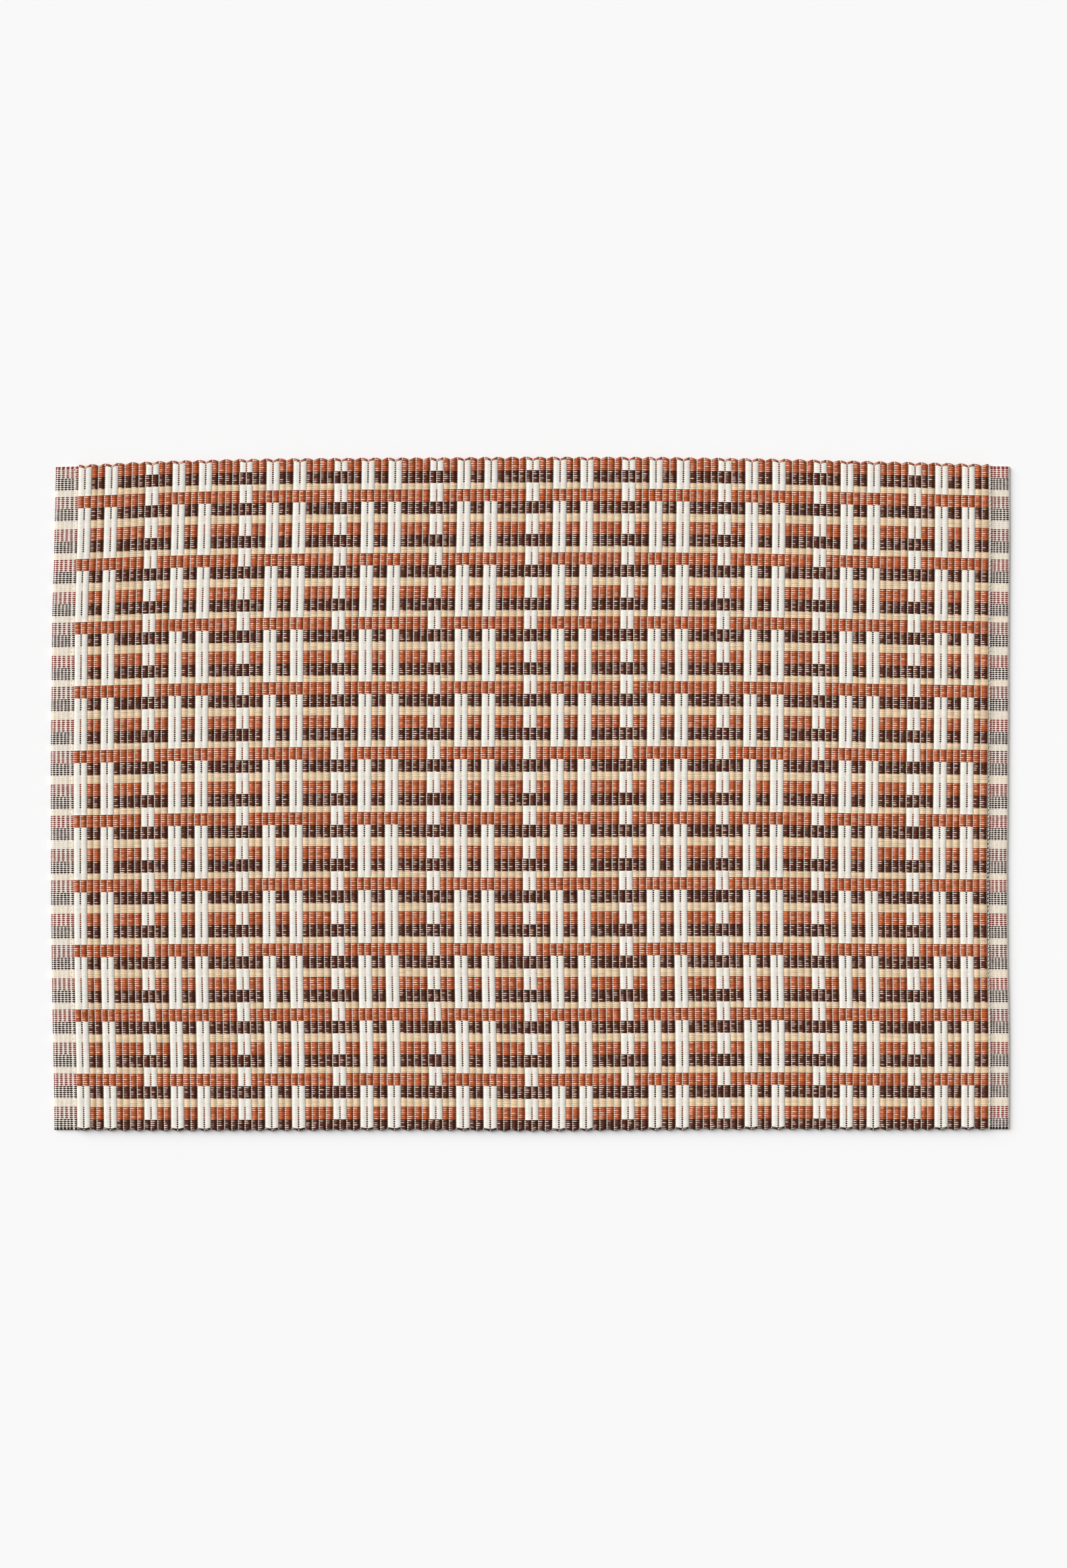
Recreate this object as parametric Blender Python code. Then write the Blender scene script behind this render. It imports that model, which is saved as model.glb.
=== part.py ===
"""Ribbed cotton placemat, woven as one cloth, with a turned hem at each short end.

The cloth is warp-faced. Thick weft cords cross the mat along Y, and each raises a rib on both faces.
The long edges are selvedges: the cords turn back there in pairs, which leaves a scalloped outline.
The short ends are finer cloth, folded under into a hem that is part of the same cloth. The mat lies
flat, a little bowed at the far edge and hollow at the ends, as it was laid down by hand.

Units are metres, +Z is up, X runs along the long side and Y along the ribs. The origin lies under
the middle of the mat's outline, on the surface that carries it.
"""

from typing import NamedTuple

import bmesh
import bpy

# The cloth along its length, measured flat.
RIB_COUNT = 134
RIB_PITCH = 0.00353
LEFT_HEM = 0.0121
RIGHT_HEM = 0.0110
HEM_PICKS = 6
SEAM_WIDTH = 0.0018
CLOTH_LENGTH = LEFT_HEM + RIB_COUNT * RIB_PITCH + RIGHT_HEM

# The cloth in section.
THICKNESS = 0.0032
GROOVE_DEPTH = 0.0009
CREST_START = 0.30
CREST_END = 0.70
HEM_THICKNESS = 0.0028
HEM_PICK_RELIEF = 0.0002
SEAM_THICKNESS = 0.0016
FOLD_THICKNESS = 0.0016

# The selvedges, where the cords turn back.
SCALLOP_DEPTH = 0.0012
CREST_SCALLOP = 0.4
EDGE_INSET = 0.0020

# How the cloth lies. Each value is an edge's place at an even share of the other direction.
FAR_EDGE_Y = (0.1702, 0.1741, 0.1750, 0.1735, 0.1706)
NEAR_EDGE_Y = (-0.1751, -0.1751, -0.1754, -0.1746, -0.1752)
LEFT_EDGE_X = (-0.2471, -0.2489, -0.2497, -0.2482, -0.2473)
RIGHT_EDGE_X = (0.2494, 0.2495, 0.2486, 0.2489, 0.2490)
RIB_DRIFT = (0.0, -0.0015, -0.0008, 0.0005, 0.0)

SMOOTH_ANGLE = 0.9
MATERIAL_COLOR = (0.52, 0.30, 0.20, 1.0)


class Column(NamedTuple):
    """One line of points that runs along Y.

    place is its distance from the left hem's fold, and half is half of the cloth's thickness there.
    scallop says how far both its ends lie towards +Y from the edges' mean lines, from -1 to 1.
    """

    place: float
    half: float
    scallop: float


class Station(NamedTuple):
    """One row of points that runs along X.

    share is its place between the near and the far edge, inset its distance inwards from that,
    fullness the part of the full thickness, and scallop the part of the edge's scallops it follows.
    """

    share: float
    inset: float
    fullness: float
    scallop: float


STATIONS = (
    Station(share=0.0, inset=0.0, fullness=0.5, scallop=1.0),
    Station(share=0.0, inset=EDGE_INSET, fullness=1.0, scallop=0.5),
    Station(share=1 / 3, inset=0.0, fullness=1.0, scallop=0.0),
    Station(share=2 / 3, inset=0.0, fullness=1.0, scallop=0.0),
    Station(share=1.0, inset=-EDGE_INSET, fullness=1.0, scallop=0.5),
    Station(share=1.0, inset=0.0, fullness=0.5, scallop=1.0),
)


def clear_scene():
    """Remove the objects that the scene starts with."""
    for obj in list(bpy.data.objects):
        bpy.data.objects.remove(obj, do_unlink=True)


def curve_at(values, share):
    """Read a smooth curve through evenly spaced values at a share of its run, from 0 to 1."""
    last = len(values) - 1
    place = min(max(share, 0.0), 1.0) * last
    index = min(int(place), last - 1)
    part = place - index
    before = values[max(index - 1, 0)]
    start = values[index]
    end = values[index + 1]
    after = values[min(index + 2, last)]
    slope = (end - before) * part
    bend = (2 * before - 5 * start + 4 * end - after) * part ** 2
    twist = (3 * start - before - 3 * end + after) * part ** 3
    return start + 0.5 * (slope + bend + twist)


def hem_columns(width, left):
    """Return a hem's columns: its fold, its fine picks and the sewn line beside the ribs."""
    pick = (width - SEAM_WIDTH) / HEM_PICKS
    columns = [Column(place=0.0, half=FOLD_THICKNESS / 2, scallop=0.0)]
    for number in range(HEM_PICKS):
        crest = Column((number + 0.5) * pick, HEM_THICKNESS / 2, 0.0)
        groove = Column((number + 1) * pick, HEM_THICKNESS / 2 - HEM_PICK_RELIEF, 0.0)
        columns += [crest, groove]
    columns.append(Column(width - SEAM_WIDTH / 2, SEAM_THICKNESS / 2, 0.0))
    if left:
        return columns
    return [column._replace(place=CLOTH_LENGTH - column.place) for column in reversed(columns)]


def rib_columns():
    """Return the columns of every rib: its groove and the two sides of its crest.

    The cords turn back in pairs. A groove that stands out at one edge is drawn in at the other.
    """
    crest = THICKNESS / 2
    groove = crest - GROOVE_DEPTH
    columns = []
    for rib in range(RIB_COUNT):
        start = LEFT_HEM + rib * RIB_PITCH
        lean = 1.0 if rib % 2 == 0 else -1.0
        columns.append(Column(start, groove, lean))
        columns.append(Column(start + CREST_START * RIB_PITCH, crest, CREST_SCALLOP * lean))
        columns.append(Column(start + CREST_END * RIB_PITCH, crest, -CREST_SCALLOP * lean))
    columns.append(Column(LEFT_HEM + RIB_COUNT * RIB_PITCH, groove, 1.0))
    return columns


def laid_point(column, station):
    """Return where a column meets a station once the cloth is laid down, on its upper face."""
    along = column.place / CLOTH_LENGTH
    left = curve_at(LEFT_EDGE_X, station.share)
    right = curve_at(RIGHT_EDGE_X, station.share)
    near = curve_at(NEAR_EDGE_Y, along)
    far = curve_at(FAR_EDGE_Y, along)
    x = left + along * (right - left) + curve_at(RIB_DRIFT, along)
    y = near + station.share * (far - near) + station.inset
    y += station.scallop * column.scallop * SCALLOP_DEPTH / 2
    return x, y, column.half * station.fullness


def cloth_mesh():
    """Build the cloth: a grid laid as its upper face, and its mirror image below the mid plane."""
    columns = hem_columns(LEFT_HEM, left=True) + rib_columns() + hem_columns(RIGHT_HEM, left=False)
    steps_x = len(columns) - 1
    steps_y = len(STATIONS) - 1
    mesh = bpy.data.meshes.new("placemat")
    bm = bmesh.new()
    bmesh.ops.create_grid(bm, x_segments=steps_x, y_segments=steps_y, size=0.5)
    for vert in bm.verts:
        column = columns[round((vert.co.x + 0.5) * steps_x)]
        station = STATIONS[round((vert.co.y + 0.5) * steps_y)]
        vert.co = laid_point(column, station)
    below = bmesh.ops.extrude_face_region(bm, geom=bm.faces[:])["geom"]
    for vert in below:
        if isinstance(vert, bmesh.types.BMVert):
            vert.co.z = -vert.co.z
    bmesh.ops.recalc_face_normals(bm, faces=bm.faces[:])
    bm.to_mesh(mesh)
    bm.free()
    mesh.shade_smooth()
    mesh.set_sharp_from_angle(angle=SMOOTH_ANGLE)
    return mesh


def centre_on_outline(mesh):
    """Move the mesh so that its outline's middle is over the origin and it rests on Z = 0."""
    for axis in (0, 1):
        places = [vert.co[axis] for vert in mesh.vertices]
        middle = (min(places) + max(places)) / 2
        for vert in mesh.vertices:
            vert.co[axis] -= middle
    for vert in mesh.vertices:
        vert.co.z += THICKNESS / 2


def cotton_material():
    """Return the cloth's finish: the mean colour of its cream, rust and brown yarns, with no shine."""
    material = bpy.data.materials.new("striped cotton")
    material.use_nodes = True
    shader = material.node_tree.nodes["Principled BSDF"]
    shader.inputs["Base Color"].default_value = MATERIAL_COLOR
    shader.inputs["Roughness"].default_value = 0.9
    shader.inputs["Metallic"].default_value = 0.0
    return material


def build_placemat():
    """Add the placemat to its own collection."""
    collection = bpy.data.collections.new("fabric_placemat")
    bpy.context.scene.collection.children.link(collection)
    mesh = cloth_mesh()
    centre_on_outline(mesh)
    mesh.materials.append(cotton_material())
    cloth = bpy.data.objects.new("placemat", mesh)
    collection.objects.link(cloth)


clear_scene()
build_placemat()
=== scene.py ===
"""Looks of a ribbed cotton placemat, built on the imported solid.

The mat is one cloth in a rep weave. Thick weft cords raise its ribs, and the warp runs over them in
pairs of yarns, one dyed and one cream, of which the cords bring now one and now the other to the top.
The cloth is made as lengths of one draft repeat each, so that no piece is too heavy. The hems at its
two ends are plain weave, folded under and sewn down with cream thread.

Units are metres, +Z is up, X runs along the mat's long side and Y along its ribs.
"""

from __future__ import annotations

import logging
import math
from dataclasses import dataclass, field
from enum import Enum
from typing import NamedTuple

import bpy
import numpy as np
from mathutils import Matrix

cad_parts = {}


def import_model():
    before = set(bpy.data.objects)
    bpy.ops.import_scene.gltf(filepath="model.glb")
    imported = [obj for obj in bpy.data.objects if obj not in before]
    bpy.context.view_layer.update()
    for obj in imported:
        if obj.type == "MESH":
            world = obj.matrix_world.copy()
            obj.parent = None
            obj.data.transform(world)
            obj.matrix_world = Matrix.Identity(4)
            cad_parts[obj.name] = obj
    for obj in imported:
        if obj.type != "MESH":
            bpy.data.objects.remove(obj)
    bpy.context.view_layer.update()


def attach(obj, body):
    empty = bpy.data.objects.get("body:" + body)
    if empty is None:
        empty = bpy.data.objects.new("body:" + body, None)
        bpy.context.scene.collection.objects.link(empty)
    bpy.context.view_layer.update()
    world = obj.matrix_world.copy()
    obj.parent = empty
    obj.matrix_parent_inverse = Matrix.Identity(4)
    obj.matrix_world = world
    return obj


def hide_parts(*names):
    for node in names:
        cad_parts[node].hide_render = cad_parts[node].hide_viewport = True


LOG = logging.getLogger("placemat")
NODE = "placemat"
BODY = "root"
MM = 0.001

Place = tuple[float, float, float]

ORIGIN = (0.0, 0.0, 0.0)

# Half a yarn, and the most that two places in one row differ by, in yarn pairs.
HALF_YARN = 0.25
SAME_ROW = 0.1

# The most that two places in one column of a grid differ by, in ribs or millimetres.
SAME_COLUMN = 0.01

# Faces of the weave have no more corners than this, and the walls at a piece's ends have many.
CORNERS_OF_QUAD = 4

# The green of a dye tells straw from rust and brown: a fade from one to the other.
STRAW_FROM_RUST = (0.2, 0.4)


class RibKind(Enum):
    """Which stripes bring the dyed yarn to the top of a rib: all, the rust checks or the brown ones."""

    STRIPED = (1.0, 0.0, 0.0)
    RUST_CHECK = (0.0, 1.0, 0.0)
    BROWN_CHECK = (0.0, 0.0, 1.0)


class Dye(Enum):
    """The dyed yarn of a stripe."""

    RUST = "rust"
    BROWN = "brown"
    STRAW = "straw"


class End(Enum):
    """An end of the mat, by the direction from its middle to its fold."""

    LEFT = -1
    RIGHT = 1


class Stripe(NamedTuple):
    """A stripe of the warp: its dye, its number of yarn pairs, and if it is a wide rust check."""

    dye: Dye
    pairs: int
    check: bool = False

    @property
    def flags(self) -> tuple[float, float, float]:
        """The kinds of rib that it lifts its dyed yarn over, in the order of RibKind."""
        return (1.0, float(self.check), float(self.dye is Dye.BROWN))


@dataclass(frozen=True)
class Draft:
    """The weaver's draft: the order of the ribs, and of the stripes from the far edge.

    The far edge starts at first_pair of a repeat. A stout yarn of edge_yarn pairs' width lies along each
    edge.
    """

    ribs: tuple[RibKind, ...] = (
        *[RibKind.RUST_CHECK] * 2,
        *[RibKind.STRIPED] * 2,
        *[RibKind.RUST_CHECK] * 2,
        *[RibKind.STRIPED] * 4,
        *[RibKind.BROWN_CHECK] * 2,
        *[RibKind.STRIPED] * 2,
    )
    stripes: tuple[Stripe, ...] = (
        Stripe(Dye.RUST, 6, check=True),
        Stripe(Dye.BROWN, 6),
        Stripe(Dye.STRAW, 4),
        Stripe(Dye.RUST, 6),
        Stripe(Dye.BROWN, 6),
        Stripe(Dye.STRAW, 3),
    )
    first_pair: int = 16
    rib_count: int = 134
    pair_count: int = 321
    edge_yarn: float = 1.25

    @property
    def across(self) -> float:
        """Width of the warp in yarn pairs: its last dyed yarn has no cream one after it."""
        return self.pair_count + 0.5

    @property
    def repeat_pairs(self) -> int:
        """Number of yarn pairs in a repeat of the stripes."""
        return sum(stripe.pairs for stripe in self.stripes)

    def lifts(self, pairs: np.ndarray) -> np.ndarray:
        """Tell which kinds of rib each yarn pair lifts its dyed yarn over.

        Args:
            pairs: numbers of yarn pairs, counted from the far edge.

        Returns:
            A row of three flags for each pair, in the order of RibKind.
        """
        table = np.array([stripe.flags for stripe in self.stripes for _ in range(stripe.pairs)])
        inside = np.clip(pairs, 0, self.pair_count - 1)
        return table[(inside + self.first_pair) % self.repeat_pairs]

    def dyed_up(self, ribs: np.ndarray, places: np.ndarray) -> np.ndarray:
        """Tell where the dyed yarn is on top.

        Args:
            ribs: numbers of ribs, counted from the left.
            places: places across the warp, in yarn pairs from the far edge.

        Returns:
            1.0 where the dyed yarn is on top of the rib, and 0.0 where the cream one is.
        """
        kinds = np.array([kind.value for kind in self.ribs])[ribs % len(self.ribs)]
        up = (kinds * self.lifts(np.floor(places).astype(int))).sum(1)
        return np.where(self.outermost(places), 1.0, up)

    def outermost(self, places: np.ndarray) -> np.ndarray:
        """Tell which places across the warp are on the stout yarn along a selvedge."""
        return (places < self.edge_yarn) | (places > self.across - self.edge_yarn)


def curve_at(values: tuple[float, ...], share: np.ndarray) -> np.ndarray:
    """Read a smooth curve through evenly spaced values.

    Args:
        values: the curve's values.
        share: places along its run, from 0 to 1.

    Returns:
        The curve's value at each place.
    """
    table = np.array(values)
    last = len(table) - 1
    place = np.clip(share, 0.0, 1.0) * last
    index = np.minimum(place.astype(int), last - 1)
    part = place - index
    before = table[np.maximum(index - 1, 0)]
    start = table[index]
    end = table[index + 1]
    after = table[np.minimum(index + 2, last)]
    slope = (end - before) * part
    bend = (2 * before - 5 * start + 4 * end - after) * part**2
    twist = (3 * start - before - 3 * end + after) * part**3
    return start + 0.5 * (slope + bend + twist)


@dataclass(frozen=True)
class Cloth:
    """The cloth's sizes in metres, and how it lies, in millimetres at even shares of a run.

    The edges, the lean of the ends and the drift of ribs and yarns are those of the photograph: the long
    edges of the mat bow out and its ribs wander.
    """

    rib_pitch: float = 0.00353
    left_hem: float = 0.0121
    right_hem: float = 0.0110
    width: float = 0.3460
    thickness: float = 0.0032
    near_scallop: float = 0.0012
    far_scallop: float = 0.0015
    scallop_rows: int = 6
    far_edge_y: tuple[float, ...] = (170.3, 172.8, 174.0, 174.4, 174.8, 174.7, 173.8, 172.3, 170.9)
    near_edge_y: tuple[float, ...] = (
        *(-174.8, -175.1, -175.0, -174.8, -175.3),
        *(-174.8, -174.4, -174.7, -174.4),
    )
    left_edge_x: tuple[float, ...] = (-247.1, -248.9, -249.7, -248.2, -247.3)
    right_edge_x: tuple[float, ...] = (249.4, 249.5, 248.6, 248.9, 249.0)
    left_lean: tuple[float, ...] = (-0.3, -0.1, 0.0, 0.4, 0.5, 0.0, -0.5, 0.1, 0.7)
    right_lean: tuple[float, ...] = (-0.3, -0.3, -0.8, -0.7, 0.0, 0.3, 0.2, 0.4, 0.4)
    rib_drift: tuple[float, ...] = (0.0, -1.3, -0.6, 0.5, 0.0)
    pair_drift: tuple[float, ...] = (0.0, 0.25, 1.1, 1.4, 0.0)
    rib_wander: float = 0.00010
    rib_waves: float = 2.0
    yarn_wander: float = 0.00005
    yarn_waves: float = 9.0
    quick_pace: float = 2.7
    quick_share: float = 0.35
    seed: int = 12
    draft: Draft = field(default_factory=Draft)

    @property
    def length(self) -> float:
        """Length of the cloth along its warp, from fold to fold."""
        return self.left_hem + self.draft.rib_count * self.rib_pitch + self.right_hem

    @property
    def pair_pitch(self) -> float:
        """Distance from one pair of warp yarns to the next."""
        return self.width / self.draft.across

    def wander(self, index: np.ndarray, run: np.ndarray, waves: float) -> np.ndarray:
        """Give each thread a slow wave of its own.

        Args:
            index: which thread each point belongs to.
            run: the point's share of the thread's run, from 0 to 1.
            waves: about how many waves there are in a run.

        Returns:
            A value from -1 to 1 for each point.
        """
        rng = np.random.default_rng(self.seed)
        luck = rng.uniform(0.0, 1.0, (2 * self.draft.pair_count + 2, 3))[index]
        turns = waves * (0.7 + 0.6 * luck[:, 0]) * run
        slow = np.sin(2 * math.pi * (luck[:, 1] + turns))
        quick = np.sin(2 * math.pi * (luck[:, 2] + self.quick_pace * turns))
        return (1.0 - self.quick_share) * slow + self.quick_share * quick

    def lay(self, piece: bpy.types.Object, start: float) -> None:
        """Lay a flat piece of the cloth down as the whole mat lies.

        Args:
            piece: the piece, with X along the warp from its own start and Y from the near edge.
            start: where the piece starts, from the left fold.
        """
        mesh = piece.data
        points = points_of(mesh)
        along = (points[:, 0] + start) / self.length
        up = points[:, 1] / self.width
        ribs = (points[:, 0] + start - self.left_hem) / self.rib_pitch
        rib = np.clip(np.floor(ribs), 0, self.draft.rib_count - 1).astype(int)
        part = np.clip(ribs - rib, 0.0, 1.0)
        sway = (1 - part) * self.wander(rib, up, self.rib_waves)
        sway += part * self.wander(rib + 1, up, self.rib_waves)
        row = np.floor(np.clip(up, 0.0, 1.0) * 2 * self.draft.pair_count)
        stray = self.wander(row.astype(int), along, self.yarn_waves)
        left = curve_at(self.left_edge_x, up)
        right = curve_at(self.right_edge_x, up)
        near = curve_at(self.near_edge_y, along)
        far = curve_at(self.far_edge_y, along)
        x = left + along * (right - left) + curve_at(self.rib_drift, along)
        x += (1 - along) * curve_at(self.left_lean, up) + along * curve_at(self.right_lean, up)
        y = near + up * (far - near) + curve_at(self.pair_drift, up)
        points[:, 0] = x * MM + sway * self.rib_wander
        points[:, 1] = y * MM + stray * self.yarn_wander
        points[:, 2] += self.thickness / 2
        write_points(mesh, points)
        mesh.update()


def points_of(mesh: bpy.types.Mesh) -> np.ndarray:
    """Read a mesh's points.

    Args:
        mesh: the mesh.

    Returns:
        A row of x, y and z for each point.
    """
    places = np.empty(len(mesh.vertices) * 3)
    mesh.vertices.foreach_get("co", places)
    return places.reshape(-1, 3)


def write_points(mesh: bpy.types.Mesh, points: np.ndarray) -> None:
    """Put a mesh's points in new places, one row of x, y and z for each."""
    mesh.vertices.foreach_set("co", points.ravel())


def only(piece: bpy.types.Object) -> None:
    """Deselect everything, then select one piece and make it active.

    Args:
        piece: the mesh object.
    """
    if bpy.context.mode != "OBJECT":
        bpy.ops.object.mode_set(mode="OBJECT")
    bpy.ops.object.select_all(action="DESELECT")
    piece.select_set(True)
    bpy.context.view_layer.objects.active = piece


def edit(piece: bpy.types.Object, mask: np.ndarray) -> None:
    """Open a piece in edit mode with only the points in the mask selected.

    Args:
        piece: the mesh object.
        mask: True for each point to select.
    """
    only(piece)
    mesh = piece.data
    mesh.polygons.foreach_set("select", np.zeros(len(mesh.polygons), dtype=bool))
    mesh.edges.foreach_set("select", np.zeros(len(mesh.edges), dtype=bool))
    mesh.vertices.foreach_set("select", mask)
    bpy.ops.object.mode_set(mode="EDIT")
    bpy.ops.mesh.select_mode(type="VERT")


def shift(piece: bpy.types.Object, mask: np.ndarray, offset: Place) -> None:
    """Translate the points in the mask.

    Args:
        piece: the mesh object.
        mask: True for each point to move.
        offset: how far they move.
    """
    edit(piece, mask)
    bpy.ops.transform.translate(value=offset)
    bpy.ops.object.mode_set(mode="OBJECT")


def flatten(piece: bpy.types.Object, mask: np.ndarray, share: float) -> None:
    """Scale the height of the points in the mask about the cloth's middle plane.

    Args:
        piece: the mesh object.
        mask: True for each point to move.
        share: what is left of the height.
    """
    edit(piece, mask)
    bpy.ops.transform.resize(value=(1.0, 1.0, share), center_override=ORIGIN)
    bpy.ops.object.mode_set(mode="OBJECT")


def corners_of(mesh: bpy.types.Mesh) -> tuple[np.ndarray, np.ndarray]:
    """Read which point and which face each face corner belongs to.

    Args:
        mesh: the mesh.

    Returns:
        The points' numbers and the faces' numbers.
    """
    corners = np.empty(len(mesh.loops), dtype=int)
    mesh.loops.foreach_get("vertex_index", corners)
    sizes = np.empty(len(mesh.polygons), dtype=int)
    mesh.polygons.foreach_get("loop_total", sizes)
    return corners, np.repeat(np.arange(len(sizes)), sizes)


def weave_of(mesh: bpy.types.Mesh) -> np.ndarray:
    """Read the weave attribute.

    Args:
        mesh: the mesh of a piece of cloth.

    Returns:
        A row for each point: its place along the warp, its place across it in yarn pairs, and 0.
    """
    values = np.empty(len(mesh.vertices) * 3)
    mesh.attributes["weave"].data.foreach_get("vector", values)
    return values.reshape(-1, 3)


def write_weave(mesh: bpy.types.Mesh, values: np.ndarray) -> None:
    """Write the weave attribute.

    Args:
        mesh: the mesh of a piece of cloth.
        values: a row of three numbers for each point.
    """
    if "weave" not in mesh.attributes:
        mesh.attributes.new("weave", "FLOAT_VECTOR", "POINT")
    mesh.attributes["weave"].data.foreach_set("vector", values.ravel())


@dataclass
class WovenPiece:
    """A closed piece of the cloth: two woven faces that meet along the selvedges."""

    cloth: Cloth
    edge_fullness: tuple[float, float, float] = (0.0, 0.62, 0.90)
    edge_droop: float = 0.7 * MM
    weld: float = 0.02 * MM
    smooth_below: float = 75.0
    lengths_on_map: int = 8
    upper_share_on_map: float = 0.5
    margin_on_map: float = 0.014
    wall_share_on_map: float = 0.03
    wall_margin_on_map: float = 0.05
    wall_depth_on_map: float = 0.4

    @property
    def span(self) -> float:
        """The width of the grids, in yarn pairs: they end half a yarn beyond the warp on each side."""
        return self.cloth.draft.across + 2 * HALF_YARN

    @property
    def rows(self) -> int:
        """Steps across the warp, one for each yarn."""
        return round(self.span * 2)

    def inside(self, piece: bpy.types.Object) -> np.ndarray:
        """Measure how far each point is from the nearer selvedge, in yarn pairs.

        Args:
            piece: a face of the cloth, or the closed piece.

        Returns:
            The distances.
        """
        place = weave_of(piece.data)[:, 1]
        return np.minimum(place + HALF_YARN, self.span - HALF_YARN - place)

    def add_face(self, length: float, steps: int, rows: int, unit: float) -> bpy.types.Object:
        """Add a flat grid for one face and note its places in the weave.

        Args:
            length: its size along the warp.
            steps: its number of steps along the warp.
            rows: its number of steps across the warp.
            unit: what places along the warp are counted in.

        Returns:
            The new object.
        """
        height = self.span * self.cloth.pair_pitch
        bpy.ops.mesh.primitive_grid_add(
            x_subdivisions=steps,
            y_subdivisions=rows,
            size=1.0,
            location=(length / 2, self.cloth.width / 2, 0.0),
        )
        face = bpy.context.object
        bpy.ops.transform.resize(value=(length, height, 1.0))
        bpy.ops.object.transform_apply(location=True, rotation=True, scale=True)
        points = points_of(face.data)
        weave = np.zeros_like(points)
        weave[:, 0] = points[:, 0] / unit
        weave[:, 1] = (self.cloth.width - points[:, 1]) / self.cloth.pair_pitch
        write_weave(face.data, np.round(weave, 4))
        return face

    def turn_edges(self, face: bpy.types.Object, lean: np.ndarray) -> None:
        """Round off both selvedges of a face, and scallop them.

        Args:
            face: the face to shape.
            lean: how far the edge leans out at each point, from -1 to 1.
        """
        cloth = self.cloth
        inside = self.inside(face)
        far = weave_of(face.data)[:, 1] < self.span / 2
        step = inside[inside > SAME_ROW].min()
        coarse = step > 0.5 + SAME_ROW
        outermost = inside < SAME_ROW
        second = ~outermost & (inside < 1.5 * step) & coarse
        inwards = np.where(far, -1.0, 1.0) * cloth.pair_pitch
        points = points_of(face.data)
        points[outermost, 1] += HALF_YARN * inwards[outermost]
        points[second, 1] -= (step - 1.0) * inwards[second]
        rows_in = np.where(second, 2.0, inside * 2)
        fade = np.clip(1.0 - (rows_in - 1.0) / cloth.scallop_rows, 0.0, 1.0)
        points[:, 1] += lean * fade * np.where(far, cloth.far_scallop, cloth.near_scallop) / 2
        write_points(face.data, points)
        for row, fullness in enumerate(self.edge_fullness[:1] if coarse else self.edge_fullness):
            flatten(face, np.abs(inside - row / 2) < SAME_ROW, fullness)

    def close(self, upper: bpy.types.Object, lower: bpy.types.Object) -> bpy.types.Object:
        """Turn the lower face over, join the faces where they meet and wall what stays open.

        Args:
            upper: the upper face.
            lower: the lower face, still facing up.

        Returns:
            The closed piece.
        """
        flatten(lower, np.ones(len(lower.data.vertices), dtype=bool), -1.0)
        only(upper)
        lower.select_set(True)
        bpy.ops.object.join()
        edit(upper, np.ones(len(upper.data.vertices), dtype=bool))
        bpy.ops.mesh.remove_doubles(threshold=self.weld)
        bpy.ops.mesh.select_all(action="SELECT")
        bpy.ops.mesh.fill_holes(sides=0)
        bpy.ops.mesh.select_all(action="SELECT")
        bpy.ops.mesh.normals_make_consistent(inside=False)
        bpy.ops.object.mode_set(mode="OBJECT")
        return upper

    def add_map(self, piece: bpy.types.Object, size: float) -> None:
        """Map a flat piece for baking: its faces in lengths side by side, the lower ones above.

        Args:
            piece: the piece, before it is laid.
            size: its size along the warp, in the weave attribute's unit.
        """
        mesh = piece.data
        weave = weave_of(mesh)
        corners, faces = corners_of(mesh)
        count = np.bincount(faces)
        depth = points_of(mesh)[corners, 2] / self.cloth.thickness
        along = weave[corners, 0] / size
        across = (weave[corners, 1] + HALF_YARN) / self.span
        middle = (np.bincount(faces, across) / count)[faces] * self.lengths_on_map
        upper = (np.bincount(faces, depth) / count)[faces] > 0
        wall = (count > CORNERS_OF_QUAD)[faces]
        length = np.clip(np.floor(middle), 0, self.lengths_on_map - 1)
        margin = self.margin_on_map
        part = margin + (across * self.lengths_on_map - length) * (1 - 2 * margin)
        wide = (1.0 - self.wall_share_on_map) / self.lengths_on_map
        u = (length + margin + along * (1 - 2 * margin)) * wide
        share = self.upper_share_on_map
        v = np.where(upper, part * share, share + part * (1 - share))
        beside = self.wall_margin_on_map + (0.5 + depth) * self.wall_depth_on_map + 0.5 * (along > 0.5)
        u = np.where(wall, 1.0 - self.wall_share_on_map * (1 - beside), u)
        v = np.where(wall, across, v)
        layer = mesh.uv_layers.new(name="OFBake")
        layer.data.foreach_set("uv", np.stack([u, v], 1).ravel())

    def settle(self, piece: bpy.types.Object, name: str, start: float) -> None:
        """Name a piece, lay it down in its place and smooth it.

        Args:
            piece: the flat piece, already mapped.
            name: its name.
            start: where it starts, from the left fold.
        """
        piece.name = name
        piece.data.name = name
        points = points_of(piece.data)
        lower = points[:, 2] - self.edge_droop * np.clip(1.0 - self.inside(piece), 0.0, 1.0)
        points[:, 2] = np.maximum(lower, -self.cloth.thickness / 2)
        write_points(piece.data, points)
        self.cloth.lay(piece, start)
        only(piece)
        bpy.ops.object.shade_smooth_by_angle(angle=math.radians(self.smooth_below))


@dataclass(frozen=True)
class YarnLevels:
    """How far yarns lie below the top of a rib, over or under the cord."""

    crest_under: float = 0.26 * MM
    flank_over: float = 0.32 * MM
    flank_under: float = 0.50 * MM
    dot: float = 0.46 * MM
    beside_dot: float = 0.56 * MM
    border: float = 0.82 * MM


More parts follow.
